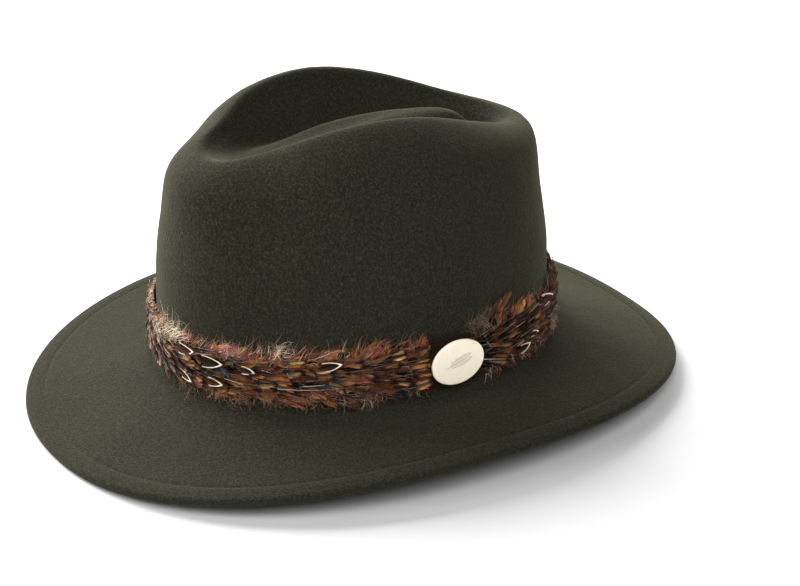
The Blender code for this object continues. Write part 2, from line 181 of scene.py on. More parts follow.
class Wall:
    """The crown's wall as a map: distance along the wrap from the badge, height above
    the crown's foot, and distance out from the felt, to a point in space."""

    STEPS = 720
    LOW, HIGH, LEVELS = -6 * MM, 46 * MM, 105

    def __init__(self):
        self.angles = np.linspace(0, TAU, self.STEPS, endpoint=False)
        rows = hat_rows(np.linspace(FOOT - 2.2, FOOT, 90), self.angles)[::-1]
        rise = rows[:, :, 2] - rows[0, :, 2]
        self.heights = np.linspace(self.LOW, self.HIGH, self.LEVELS)
        self.grid = np.empty((self.STEPS, self.LEVELS, 3))
        for i in range(self.STEPS):
            for k in range(3):
                self.grid[i, :, k] = np.interp(self.heights, rise[:, i], rows[:, i, k])
        step = self.heights[1] - self.heights[0]
        below = self.heights < 0
        first = int(np.sum(below))
        slope = (self.grid[:, first + 4] - self.grid[:, first]) / (4 * step)
        for j in np.nonzero(below)[0]:
            self.grid[:, j] = self.grid[:, first] + slope * (self.heights[j] - self.heights[first])
        along = np.roll(self.grid, -1, 0) - np.roll(self.grid, 1, 0)
        normal = np.stack([along[..., 1], -along[..., 0], np.zeros(along.shape[:2])], -1)
        self.normal = normal / np.linalg.norm(normal, axis=-1, keepdims=True)
        middle = self.grid[:, first + 28] + self.normal[:, first + 28] * WRAP_OUTER
        steps = np.linalg.norm(np.roll(middle, -1, 0) - middle, axis=1)
        self.arc = np.concatenate([[0], np.cumsum(steps)])
        self.length = self.arc[-1]
        self.start = np.interp(WRAP_JOINT, np.append(self.angles, TAU), self.arc)
        brim = hat_rows(np.linspace(FOOT - 0.15, EDGE, 160), self.angles)
        reach = np.hypot(brim[..., 0], brim[..., 1])
        self.reaches = np.linspace(80 * MM, 130 * MM, 101)
        self.brim_top = np.array(
            [np.interp(self.reaches, reach[:, i], brim[:, i, 2]) for i in range(self.STEPS)]
        )

    def along(self, angle):
        """The distance along the wrap, from the badge, of an angle round the hat."""
        arc = np.interp(angle % TAU, np.append(self.angles, TAU), self.arc)
        return (arc - self.start) % self.length

    def angle(self, along):
        """The angle round the hat at a distance along the wrap from the badge."""
        return np.interp((along + self.start) % self.length, self.arc, np.append(self.angles, TAU))

    def at_angle(self, angle, height, out):
        """Points at these angles, heights and distances out, on the wall itself."""
        angle, height, out = np.broadcast_arrays(angle, height, out)
        a = (angle % TAU) / TAU * self.STEPS
        i = np.floor(a).astype(int)
        fa = (a - i)[..., None]
        i %= self.STEPS
        i2 = (i + 1) % self.STEPS
        h = (height - self.LOW) / (self.HIGH - self.LOW) * (self.LEVELS - 1)
        j = np.clip(np.floor(h).astype(int), 0, self.LEVELS - 2)
        fh = (h - j)[..., None]

        def mix(grid):
            low = grid[i, j] * (1 - fa) + grid[i2, j] * fa
            high = grid[i, j + 1] * (1 - fa) + grid[i2, j + 1] * fa
            return low * (1 - fh) + high * fh

        return mix(self.grid) + mix(self.normal) * out[..., None]

    def at(self, along, height, out):
        """Points of the wrap, kept clear of the top of the brim."""
        angle = self.angle(along)
        points = self.at_angle(angle, height, out)
        i = np.round(angle / TAU * self.STEPS).astype(int) % self.STEPS
        reach = np.hypot(points[:, 0], points[:, 1])
        step = self.reaches[1] - self.reaches[0]
        j = (reach - self.reaches[0]) / step
        j = np.clip(np.round(j).astype(int), 0, len(self.reaches) - 1)
        points[:, 2] = np.maximum(points[:, 2], self.brim_top[i, j] + 0.5 * MM)
        return points


WALL = Wall()


# Building blocks ----------------------------------------------------------------


def lerp(a, b, t):
    """From a at t = 0 to b at t = 1, for each t of an array."""
    t = np.clip(t, 0, 1)[..., None]
    return a * (1 - t) + b * t


def bell(x, middle, width):
    """A smooth hump: 1 at the middle, and near 0 two widths away."""
    return np.exp(-(((x - middle) / width) ** 2))


def mesh_object(name, points, faces, mat, smooth=True, colours=None):
    mesh = bpy.data.meshes.new(name)
    mesh.from_pydata([tuple(p) for p in points], [], faces)
    mesh.materials.append(mat)
    if colours is not None:
        # The "dye" colours are the feathers' own colours together with their painted shade.
        layer = mesh.color_attributes.new("dye", "FLOAT_COLOR", "POINT")
        rgba = np.ones((len(points), 4), np.float32)
        rgba[:, :3] = colours
        layer.data.foreach_set("color", rgba.ravel())
    if smooth:
        mesh.shade_smooth()
    obj = bpy.data.objects.new(name, mesh)
    bpy.context.scene.collection.objects.link(obj)
    return obj


def grid_faces(rows, width, closed, start=0):
    """Faces of a grid of points whose rows run outwards or downwards."""
    faces = []
    for r in range(rows - 1):
        a = start + r * width
        for i in range(width if closed else width - 1):
            j = (i + 1) % width
            faces.append((a + i, a + width + i, a + width + j, a + j))
    return faces


def thicken(obj, thickness, offset):
    solid = obj.modifiers.new("thickness", "SOLIDIFY")
    solid.thickness = thickness
    solid.offset = offset
    solid.use_even_offset = True
    return obj


class Nodes:
    """A new material whose nodes are added by short calls."""

    def __init__(self, name):
        self.material = bpy.data.materials.new(name)
        self.material.use_nodes = True
        self.tree = self.material.node_tree
        self.shader = self.tree.nodes["Principled BSDF"]
        self.place = self.add("ShaderNodeTexCoord").outputs["Object"]

    def fill(self, node, inputs):
        """Gives a node's inputs their values, or links them to other nodes' outputs."""
        for key, value in inputs.items():
            socket = node.inputs[key]
            if isinstance(value, bpy.types.NodeSocket):
                self.tree.links.new(value, socket)
            else:
                colour = socket.type == "RGBA" and len(value) == 3
                socket.default_value = (*value, 1) if colour else value
        return node

    def add(self, kind, inputs=None, **settings):
        node = self.tree.nodes.new(kind)
        for key, value in settings.items():
            setattr(node, key, value)
        return self.fill(node, inputs or {})

    def set(self, **inputs):
        """The shader's own inputs, with _ in the place of a space."""
        self.fill(self.shader, {key.replace("_", " "): value for key, value in inputs.items()})

    def stretched(self, x, y, z):
        node = self.add("ShaderNodeMapping", {"Scale": (x, y, z), "Vector": self.place})
        return node.outputs["Vector"]

    def noise(self, scale, detail=2.0, vector=None, roughness=0.5):
        inputs = {"Scale": scale, "Detail": detail, "Roughness": roughness}
        node = self.add("ShaderNodeTexNoise", inputs | {"Vector": vector or self.place})
        return node.outputs["Fac"]

    def ramp(self, factor, low, high, colour_low=(0, 0, 0), colour_high=(1, 1, 1)):
        node = self.add("ShaderNodeValToRGB", {"Fac": factor})
        for element, at, colour in zip(
            node.color_ramp.elements, (low, high), (colour_low, colour_high)
        ):
            element.position = at
            element.color = (*colour, 1)
        return node.outputs["Color"]

    def mix(self, factor, a, b, kind="MIX"):
        inputs = {0: factor, 6: a, 7: b}
        return self.add("ShaderNodeMix", inputs, data_type="RGBA", blend_type=kind).outputs[2]

    def bump(self, height, distance, strength=1.0, under=None):
        inputs = {"Strength": strength, "Distance": distance, "Height": height}
        if under is not None:
            inputs["Normal"] = under
        return self.add("ShaderNodeBump", inputs).outputs["Normal"]


# Materials ----------------------------------------------------------------------


def felt_material():
    """Olive felt: a dye that is mottled by its fibres, pale flecks, a fine nap and a sheen."""
    n = Nodes("felt_cloth")
    nap = n.stretched(1.0, 1.0, 0.9)
    broad = n.ramp(n.noise(22, 3), 0.3, 0.7)
    dyed = n.mix(broad, (0.0104, 0.0101, 0.0062), (0.0126, 0.0123, 0.0076))
    fibres = n.ramp(n.noise(850, 2, nap, 0.6), 0.42, 0.66)
    mottled = n.mix(fibres, dyed, (0.0232, 0.0227, 0.0143))
    fleck = n.ramp(n.noise(1050, 2, nap, 0.5), 0.60, 0.70)
    colour = n.mix(fleck, mottled, (0.034, 0.033, 0.022))
    soft = n.bump(n.noise(300, 4), 0.00035, 0.5)
    n.set(Base_Color=colour, Normal=n.bump(n.noise(950, 2, nap, 0.6), 0.0004, 1.0, soft))
    n.set(Roughness=0.95, Sheen_Roughness=0.45, Sheen_Weight=0.12)
    n.set(Sheen_Tint=(0.66, 0.66, 0.42, 1), Specular_IOR_Level=0.05)
    return n.material


def leather_material(name, low, high, roughness, sheen=0.0):
    n = Nodes(name)
    cells = {"Scale": 1500, "Vector": n.place}
    grain = n.add("ShaderNodeTexVoronoi", cells, feature="DISTANCE_TO_EDGE")
    crease = n.ramp(grain.outputs["Distance"], 0.0, 0.25)
    tone = n.mix(n.ramp(n.noise(90, 4), 0.3, 0.7), low, high)
    fine = n.bump(crease, 0.00012, 0.6)
    n.set(Normal=n.bump(n.noise(260, 3), 0.0002, 0.4, fine))
    n.set(Base_Color=n.mix(0.35, tone, crease, "MULTIPLY"))
    n.set(Roughness=roughness, Sheen_Weight=sheen, Specular_IOR_Level=0.5 - roughness * 0.5)
    return n.material


def thread_material(name, colour):
    n = Nodes(name)
    twist = n.ramp(n.noise(3000, 2), 0.3, 0.7)
    dark = tuple(0.55 * c for c in colour)
    n.set(Base_Color=n.mix(twist, dark, colour), Normal=n.bump(twist, 0.00008, 0.8))
    n.set(Roughness=0.75, Sheen_Weight=0.3)
    return n.material


def ribbon_material(name, colour, pitch, roughness=0.55):
    """A woven ribbon, with ribs that run up and down at that pitch."""
    n = Nodes(name)
    ribs = {"Scale": 0.314 / pitch, "Vector": n.place}
    ribs = n.add("ShaderNodeTexWave", ribs, bands_direction="Z")
    weave = n.ramp(ribs.outputs["Fac"], 0.1, 0.9)
    tone = n.mix(n.ramp(n.noise(700, 2), 0.3, 0.7), tuple(0.75 * c for c in colour), colour)
    n.set(Base_Color=n.mix(0.3, tone, weave, "MULTIPLY"), Normal=n.bump(weave, 0.0001, 0.7))
    n.set(Roughness=roughness, Sheen_Weight=0.08)
    return n.material


def metal_material(name, colour, roughness, metallic):
    n = Nodes(name)
    cloud = n.ramp(n.noise(160, 3), 0.3, 0.75)
    dull = tuple(0.94 * c for c in colour)
    brushed = n.noise(900, 2, n.stretched(0.15, 0.15, 3.0))
    n.set(Base_Color=n.mix(cloud, dull, colour), Normal=n.bump(brushed, 0.00002, 0.35))
    uneven = {"To Min": roughness * 0.8, "To Max": roughness * 1.25, "Value": cloud}
    n.set(Roughness=n.add("ShaderNodeMapRange", uneven).outputs["Result"], Metallic=metallic)
    return n.material


def feather_material():
    """The colours are each barb's own, with painted shade towards each shaft. The nodes add its fine
    barbules and gloss.
    """
    n = Nodes("feather_barbs")
    # The "dye" attribute holds the barbs' colours together with their painted shade.
    dye = n.add("ShaderNodeAttribute", attribute_name="dye").outputs["Color"]
    barbules = n.ramp(n.noise(2600, 3), 0.25, 0.75, (0.62, 0.62, 0.62), (1.25, 1.25, 1.25))
    n.set(Base_Color=n.mix(1.0, dye, barbules, "MULTIPLY"))
    n.set(Normal=n.bump(n.noise(3200, 2), 0.00006, 0.6))
    n.set(Roughness=0.45, Specular_IOR_Level=0.12)
    return n.material


# Felt ---------------------------------------------------------------------------

FELT_ANGLES = np.linspace(0, TAU, 288, endpoint=False)
FOOT_EASING, FOOT_EASING_PASSES = 0.5, 30
GROOVE_DEPTH, GROOVE_WIDTH = 0.32 * MM, 0.9 * MM
UNDER_GROOVE_DEPTH, UNDER_GROOVE_WIDTH = 0.25 * MM, 1.0 * MM
PUFF, PUFF_PLACE, PUFF_WIDTH = 0.20 * MM, 3.8 * MM, 2.6 * MM
BROAD_WAVE, BROAD_WAVE_SIZE = 0.22 * MM, 0.045
SMALL_WAVE, SMALL_WAVE_SIZE = 0.07 * MM, 0.011


def outward_frame(angles):
    """The brim's edge, and the directions outwards and upwards there."""
    step = 0.01
    edge = hat_rows([EDGE], angles)[0]
    along = hat_rows([EDGE], angles + step)[0] - hat_rows([EDGE], angles - step)[0]
    along /= np.linalg.norm(along, axis=1, keepdims=True)
    outwards = edge - hat_rows([EDGE - 0.2], angles)[0]
    outwards -= along * np.sum(outwards * along, 1, keepdims=True)
    outwards /= np.linalg.norm(outwards, axis=1, keepdims=True)
    return edge, outwards, np.cross(outwards, along)


def waves(points, size, seed):
    """A smooth uneven value from -1 to 1 at each point, with bumps of about that size."""
    draw = np.random.default_rng(seed)
    total = np.zeros(len(points))
    for _ in range(14):
        way = draw.normal(size=3)
        way *= TAU / size / np.linalg.norm(way) * draw.uniform(0.6, 1.3)
        total += np.sin(points @ way + draw.uniform(0, TAU))
    return total / 5.0


def felt_body(mat):
    """One felt with a turned-under welt: slightly uneven, with a line pressed in by the
    stitches and a welt that stands a little proud outside it."""
    upper = list(np.arange(-1 + 1 / 12, EDGE - 1, 1 / 12)) + list(np.linspace(EDGE - 1, EDGE, 40))
    rows = hat_rows(upper, FELT_ANGLES)
    soft = FOOT_EASING * bell(np.array(upper), FOOT, 0.5)[1:-1, None, None]
    for _ in range(FOOT_EASING_PASSES):  # ease the turn from the wall to the brim
        rows[1:-1] += soft * ((rows[:-2] + rows[2:]) / 2 - rows[1:-1])
    edge, outwards, upwards = outward_frame(FELT_ANGLES)
    inset = np.linalg.norm(rows - edge, axis=2)
    near = np.array(upper)[:, None] > EDGE - 1.01
    groove = -GROOVE_DEPTH * bell(inset, WELT_STITCH, GROOVE_WIDTH)
    puff = PUFF * bell(inset, PUFF_PLACE, PUFF_WIDTH)
    shift = np.where(near, groove + puff, 0)
    down = np.gradient(rows, axis=0)
    round_ = np.roll(rows, -1, 1) - np.roll(rows, 1, 1)
    normal = np.cross(down, round_)
    normal /= np.maximum(np.linalg.norm(normal, axis=2, keepdims=True), 1e-12)
    flat = rows.reshape(-1, 3)
    uneven = BROAD_WAVE * waves(flat, BROAD_WAVE_SIZE, 1)
    uneven += SMALL_WAVE * waves(flat, SMALL_WAVE_SIZE, 2)
    fade = np.minimum(1, inset / (25 * MM))
    rows = rows + normal * (shift + uneven.reshape(shift.shape) * fade)[..., None]
    radius = WELT_THICKNESS / 2
    centre = edge - upwards * radius
    lower = []
    for turn in np.linspace(0, math.pi, 11)[1:]:
        lower.append(centre + radius * (upwards * math.cos(turn) + outwards * math.sin(turn)))
    for back in np.linspace(0, WELT_RETURN, 9)[1:]:
        press = -UNDER_GROOVE_DEPTH * bell(back + radius, WELT_STITCH, UNDER_GROOVE_WIDTH)
        lower.append(centre - upwards * (radius + press) - outwards * back)
    grid = np.concatenate([rows, np.array(lower)])
    width = len(FELT_ANGLES)
    points = np.concatenate([grid.reshape(-1, 3), [DOME_TOP]])
    faces = grid_faces(len(grid), width, closed=True)
    faces += [(len(points) - 1, i, (i + 1) % width) for i in range(width)]
    obj = mesh_object("felt_hat_body", points, faces, mat)
    thicken(obj, FELT, -1)
    return obj


def lengths_along(line):
    """How far along a line of points each one lies."""
    steps = np.linalg.norm(np.diff(line, axis=0), axis=1)
    return np.concatenate([[0], np.cumsum(steps)])


def capsule(points, faces, start, end, up, width, height, sides=6, rings=5):
    """Adds one stitch: a low rounded bead from start to end."""
    base = len(points)
    axis = end - start
    side = np.cross(axis, up)
    side /= np.linalg.norm(side)
    for r in range(rings):
        t = r / (rings - 1)
        fat = math.sqrt(max(0.0, 1 - (2 * t - 1) ** 4)) * 0.96 + 0.04
        for k in range(sides):
            turn = TAU * k / sides
            arm = side * math.cos(turn) * width + up * math.sin(turn) * height
            points.append(start + axis * t + arm * fat)
    faces += grid_faces(rings, sides, closed=True, start=base)
    faces.append(tuple(base + k for k in range(sides)))
    last = base + (rings - 1) * sides
    faces.append(tuple(last + k for k in reversed(range(sides))))


def brim_stitches(mat):
    """The welt's stitches, sunk in their pressed line on the top and the underside."""
    pitch, length = 4.2 * MM, 2.7 * MM
    table = np.linspace(0, TAU, 1441)
    edge, _, upwards = outward_frame(table)
    inner = hat_rows([EDGE - 0.5], table)[0]
    share = (WELT_STITCH - WELT_THICKNESS / 2) / np.linalg.norm(edge - inner, axis=1)
    line = np.array([hat_rows([EDGE - 0.5 * s], np.array([a]))[0, 0] for s, a in zip(share, table)])
    arc = lengths_along(line)
    count = round(arc[-1] / pitch)
    draw = np.random.default_rng(3)
    points, faces = [], []
    for level, thick in ((-0.30 * MM, 0.26 * MM), (-WELT_THICKNESS - 0.02 * MM, 0.24 * MM)):
        for i in range(count):
            middle = arc[-1] * (i + draw.normal(0, 0.03)) / count % arc[-1]
            ends = [(middle + side * length / 2) % arc[-1] for side in (-1, 1)]
            up = np.array([np.interp(middle, arc, upwards[:, k]) for k in range(3)])
            start, end = (
                np.array([np.interp(at, arc, line[:, k]) for k in range(3)]) + up * level
                for at in ends
            )
            capsule(points, faces, start, end, up, thick * 1.25, thick)
    return mesh_object("brim_stitches", points, faces, mat)


# Inside the crown ---------------------------------------------------------------


def wall_strip(name, span, heights, out, mat, steps, levels=8):
    """A strip that follows the wall, from one angle to another, top row first."""
    angle = np.linspace(*span, steps)
    height = np.linspace(heights[1], heights[0], levels)
    a, h = np.meshgrid(angle, height)
    points = WALL.at_angle(a, h, np.full(a.shape, float(out))).reshape(-1, 3)
    return mesh_object(name, points, grid_faces(levels, steps, closed=False), mat)


def half_angle(width, angle, out):
    step = 0.01
    ends = WALL.at_angle(np.array([angle - step, angle + step]), np.full(2, 0.01), np.full(2, out))
    return width / (np.linalg.norm(ends[1] - ends[0]) / step)


def rounded(obj, width):
    bevel = obj.modifiers.new("rounded", "BEVEL")
    bevel.width = width
    bevel.segments = 3
    bevel.limit_method = "ANGLE"
    bevel.angle_limit = math.radians(40)
    return obj


def open_band(name, start, gap_width, heights, out, mat, levels=8):
    """A strip round the whole wall, from one side of its joint to the other."""
    gap = half_angle(gap_width, start, out)
    return wall_strip(name, (start + gap, start + TAU - gap), heights, out, mat, 240, levels)


def sweatband_leather(mat):
    heights = (SWEATBAND_FOOT, SWEATBAND_FOOT + SWEATBAND_HEIGHT)
    place = (-math.pi, SEAM_GAP, heights, SWEATBAND_OUTER)
    band = open_band("sweatband_leather", *place, mat, 12)
    return rounded(thicken(band, SWEATBAND, -1), LEATHER_EDGE)


def sweatband_reed(mat):
    height = SWEATBAND_FOOT - REED_RADIUS - GAP
    angle = np.linspace(0, TAU, 180, endpoint=False)
    centre = WALL.at_angle(angle, height, SWEATBAND_OUTER - REED_RADIUS)
    along = np.roll(centre, -1, 0) - np.roll(centre, 1, 0)
    along /= np.linalg.norm(along, axis=1, keepdims=True)
    up = np.array([0.0, 0.0, 1.0]) - along * along[:, 2:]
    side = np.cross(along, up)
    rows = []
    for turn in np.linspace(0, TAU, 12, endpoint=False):
        rows.append(centre + REED_RADIUS * (up * math.cos(turn) + side * math.sin(turn)))
    points = np.concatenate(rows + [rows[0]])
    return mesh_object("sweatband_reed_cord", points, grid_faces(13, 180, closed=True), mat)


def sweatband_stitches(mat):
    """A row of short slanted stitches just above the sweatband's lower edge."""
    pitch, length, slant = 3.6 * MM, 2.4 * MM, 0.5 * MM
    height = SWEATBAND_FOOT + SEAM_STITCH_UP
    out = SWEATBAND_INNER - 0.10 * MM
    table = np.linspace(0, TAU, 721)
    line = WALL.at_angle(table, height, out)
    arc = lengths_along(line)
    points, faces = [], []
    for middle in np.arange(pitch / 2, arc[-1], pitch):
        ends = np.interp([middle - length / 2, middle + length / 2], arc, table)
        start, end = WALL.at_angle(ends, np.array([height - slant, height + slant]), out)
        inwards = WALL.at_angle(ends[:1], height, out - 1 * MM)[0]
        inwards -= WALL.at_angle(ends[:1], height, out)[0]
        capsule(points, faces, start, end, inwards * 1000, 0.30 * MM, 0.24 * MM)
    return mesh_object("sweatband_stitches", points, faces, mat)


def patch(name, angle, width, height, up, thickness, mat, steps=16):
    """A flat piece on the sweatband's inner face."""
    out = SWEATBAND_INNER - GAP
    half = half_angle(width, angle, out)
    low = SWEATBAND_FOOT + up
    strip = wall_strip(name, (angle - half, angle + half), (low, low + height), out, mat, steps)
    return rounded(thicken(strip, thickness, -1), thickness * 0.3)


def patch_stitches(name, angle, width, height, up, thickness, mat, inset=1.0 * MM):
    """Small stitches round the edge of such a piece."""
    out = SWEATBAND_INNER - GAP - thickness - 0.05 * MM
    points, faces = [], []
    half = half_angle(width - 2 * inset, angle, out)
    low, high = SWEATBAND_FOOT + up + inset, SWEATBAND_FOOT + up + height - inset
    inwards = -WALL.at_angle(np.array([angle]), low, 1.0)[0]
    inwards += WALL.at_angle(np.array([angle]), low, 0.0)[0]

    def run(start, end, count):
        for i in range(count):
            a, b = start + (end - start) * (i + 0.18) / count, start + (end - start) * (i + 0.82) / count
            ends = WALL.at_angle(np.array([a[0], b[0]]), np.array([a[1], b[1]]), out)
            capsule(points, faces, ends[0], ends[1], inwards, 0.20 * MM, 0.16 * MM)

    corners = [(angle - half, low), (angle + half, low), (angle + half, high), (angle - half, high)]
    corners = [np.array(c) for c in corners]
    across, upright = round(width / (2.2 * MM)), round(height / (2.2 * MM))
    for k, count in enumerate((across, upright, across, upright)):
        run(corners[k], corners[(k + 1) % 4], count)
    return mesh_object(name, points, faces, mat)


def ribbon_bow(mat):
    """A flat ribbon bow on the seam tab: two loops, two short tails and a wrapped knot."""
    out = SWEATBAND_INNER - GAP * 2 - TAB - BOW_KNOT * 0.6
    centre = Vector(WALL.at_angle(np.array([math.pi]), SWEATBAND_FOOT + BOW_UP, out)[0])
    across, up, towards = Vector((1, 0, 0)), Vector((0, 0, 1)), Vector((0, -1, 0))
    width = 3.6 * MM
    points, faces = [], []

    def band(path, widths):
        base = len(points)
        for (x, z, y), wide in zip(path, widths):
            middle = centre + across * x + up * z + towards * y
            for edge in np.linspace(-0.5, 0.5, 5):
                points.append(middle + up * edge * wide + towards * (0.12 * MM * math.cos(TAU * edge)))
        faces.extend(grid_faces(len(path), 5, closed=False, start=base))

    for side in (-1, 1):
        loop = []
        for turn in np.linspace(0, TAU, 25):
            x = side * BOW_LOOP * (1 - math.cos(turn)) * 0.98
            y = -0.55 * MM + 1.15 * MM * math.sin(turn) * math.sin(turn / 2)
            loop.append((x, 0.25 * MM * math.sin(turn), y))
        band(loop, [width * (0.45 + 0.55 * math.sin(t / 2) ** 0.7) for t in np.linspace(0, TAU, 25)])
        tail = [(side * x * MM, -x * 0.55 * MM, -0.9 * MM) for x in np.linspace(0.5, 6.5, 9)]
        band(tail, np.linspace(0.5, 0.8, 9) * width)
    knot = [
        (0, 0, 0.6 * MM * math.sin(turn) - 0.2 * MM) for turn in np.linspace(-0.2, math.pi + 0.2, 9)
    ]
    base = len(points)
    for i, (_, _, y) in enumerate(knot):
        x = (i / 8 - 0.5) * 2.6 * MM
        for edge in np.linspace(-0.5, 0.5, 5):
            points.append(centre + across * x + up * edge * BOW_KNOT * 1.5 + towards * y)
    faces.extend(grid_faces(9, 5, closed=False, start=base))
    obj = mesh_object("sweatband_ribbon_bow", points, faces, mat)
    return thicken(obj, 0.25 * MM, 0)


# Wrap leather and badge ---------------------------------------------------------


def wrap_leather(mat):
    heights = (WRAP_FOOT, WRAP_FOOT + WRAP_HEIGHT)
    band = open_band("wrap_base_leather", WRAP_JOINT, WRAP_END_GAP, heights, WRAP_GAP, mat)
    return rounded(thicken(band, WRAP_LEATHER, 1), LEATHER_EDGE)


def keeper_leather(mat):
    out = WRAP_OUTER + GAP
    half = half_angle(KEEPER_WIDTH, WRAP_JOINT, out)
    span = (WRAP_JOINT - half, WRAP_JOINT + half)
    heights = (BUNDLE_FOOT, BUNDLE_FOOT + KEEPER_HEIGHT)
    leather = wall_strip("badge_keeper_leather", span, heights, out, mat, 24, 16)
    return rounded(thicken(leather, KEEPER, 1), LEATHER_EDGE)


def badge_axes():
    """The badge's front middle, and the directions along, up and out of its face."""
    height = WRAP_FOOT + WRAP_HEIGHT / 2 - BADGE_DOWN
    step = 0.01
    near = [WRAP_JOINT, WRAP_JOINT - step, WRAP_JOINT + step, WRAP_JOINT, WRAP_JOINT]
    levels = [height, height, height, height - 5 * MM, height + 5 * MM]
    centre, before, after, low, high = (
        Vector(p) for p in WALL.at_angle(np.array(near), np.array(levels), WRAP_OUTER)
    )
    along = after - before
    along.z = 0
    along.normalize()
    out = along.cross(high - low).normalized()
    front = centre + out * (GAP * 2 + KEEPER + BADGE)
    return front, along, out.cross(along), out


def badge_plate(mat):
    """A plain oval plate: a flat face with a soft rounded rim."""
    front, along, up, out = badge_axes()
    profile = [(share, 0.0) for share in (0.25, 0.50, 0.70, 0.84, 0.91, 0.938)]
    profile += [
        (0.952, -0.012), (0.966, -0.05), (0.979, -0.12), (0.990, -0.24), (0.998, -0.42),
        (1.0, -0.62), (0.999, -1.15), (0.985, -1.32), (0.96, -1.40), (0.5, -1.40),
    ]  # fmt: skip
    steps = 128
    points = []
    for share, depth in profile:
        for turn in np.linspace(0, TAU, steps, endpoint=False):
            x = BADGE_HALF_WIDTH * share * math.cos(turn)
            y = BADGE_HALF_HEIGHT * share * math.sin(turn)
            points.append(front + along * x + up * y + out * (depth * MM))
    rows = len(profile)
    faces = grid_faces(rows, steps, closed=True)
    points += [front, front - out * BADGE]
    faces += [(len(points) - 2, i, (i + 1) % steps) for i in range(steps)]
    last = (rows - 1) * steps
    faces += [(len(points) - 1, last + (i + 1) % steps, last + i) for i in range(steps)]
    return mesh_object("badge_plate", points, faces, mat)


def badge_engraving(mat):
    """A small generic feather cut in the badge's face: a shaft with short slanted barbs."""
    front, along, up, out = badge_axes()
    points, faces = [], []

    def line(x0, y0, x1, y1, width):
        start, end = (front + along * x + up * y + out * 0.01 * MM for x, y in ((x0, y0), (x1, y1)))
        capsule(points, faces, np.array(start), np.array(end), np.array(out), width, 0.03 * MM)

    tilt = math.radians(14)
    c, s = math.cos(tilt), math.sin(tilt)
    reach = 8.6 * MM

    def turned(x, y):
        return x * c - y * s, x * s + y * c

    line(*turned(-reach, 0), *turned(reach * 0.9, 0), 0.16 * MM)
    for i in range(15):
        x = (-0.55 + i / 14 * 1.35) * reach
        long = 3.0 * MM * math.sin(math.pi * (0.12 + 0.80 * (i + 1) / 16)) ** 0.7
        for side in (-1, 1):
            line(*turned(x, 0.25 * MM * side), *turned(x + long * 0.8, long * side), 0.10 * MM)
    return mesh_object("badge_engraved_feather", points, faces, mat)


# Feathers -----------------------------------------------------------------------

COPPER = np.array((0.270, 0.088, 0.028))
ORANGE = np.array((0.400, 0.160, 0.045))
GOLD = np.array((0.560, 0.330, 0.120))
CHESTNUT = np.array((0.120, 0.036, 0.016))
MAROON = np.array((0.190, 0.045, 0.038))
BROWN = np.array((0.050, 0.022, 0.010))
BLACK = np.array((0.008, 0.006, 0.005))
BLUE = np.array((0.030, 0.062, 0.082))
CREAM = np.array((0.780, 0.680, 0.500))
BEIGE = np.array((0.300, 0.220, 0.140))
DOWN = np.array((0.420, 0.350, 0.290))

KEEPER_EDGE = KEEPER_WIDTH / 2 + 1.0 * MM
BARBS = 26  # on each side of a shaft
GAP_CHANCE, CLING = 0.13, 0.36  # how often a clump of barbs ends, and how much it clings
BARB_STOPS = np.array((0.0, 0.20, 0.40, 0.56, 0.68, 0.80, 0.91, 1.0))


def copper_dye(u, t, draw):
    tip = (COPPER, ORANGE, MAROON, COPPER, CHESTNUT)[draw.integers(5)]
    base = lerp(BLACK, tip, (u - draw.uniform(0.40, 0.62)) * 4.0 + 0.15 * t)
    return lerp(base, BLACK, (u - 0.94) * draw.uniform(0, 12))


def gold_dye(u, t, draw):
    base = lerp(BLACK, (ORANGE, GOLD)[draw.integers(2)], (u - 0.45) * 5.0)
    stripe = bell(t, 0.0, draw.uniform(0.15, 0.4)) * 1.4
    return lerp(base, BLACK, stripe + np.clip((u - 0.90) * 10, 0, 1))


def almond_dye(u, t, draw):
    inside = lerp(BLACK, CHESTNUT, 0.5 + 0.5 * np.sin(u * 60 + t * 6))
    return lerp(lerp(inside, BROWN, 0.5 * t), BLACK, (t - 0.62) * 9)


def ink_dye(u, t, draw):
    return lerp(BLACK, (BLUE * 0.5, BROWN, CHESTNUT)[draw.integers(3)], (u - 0.6) * 2.5)


def blue_dye(u, t, draw):
    return lerp(BLACK, BLUE, (u - 0.5) * 4)


DYES = {
    "copper": copper_dye, "gold": gold_dye, "ink": ink_dye, "almond": almond_dye, "blue": blue_dye,
}  # fmt: skip
COMMON_KINDS, CHANCES = ("copper", "gold", "ink"), (0.65, 0.18, 0.17)


class Shaft(NamedTuple):
    """A feather's shaft: where it starts on the wrap, its length, how far it is turned up,
    how far it lifts on its way and starts out from the wrap, and its bend."""

    root: float
    height: float
    length: float
    tilt: float
    lift: float
    out: float = 0.3 * MM
    bend: float = 0.0

    def place(self, x, y, rise):
        """Points of the wrap's space at x along the shaft and y across it."""
        way = self.tilt + self.bend * x / self.length / 2
        c, s = np.cos(way), np.sin(way)
        return np.stack([self.root + x * c - y * s, self.height + x * s + y * c, rise], -1)


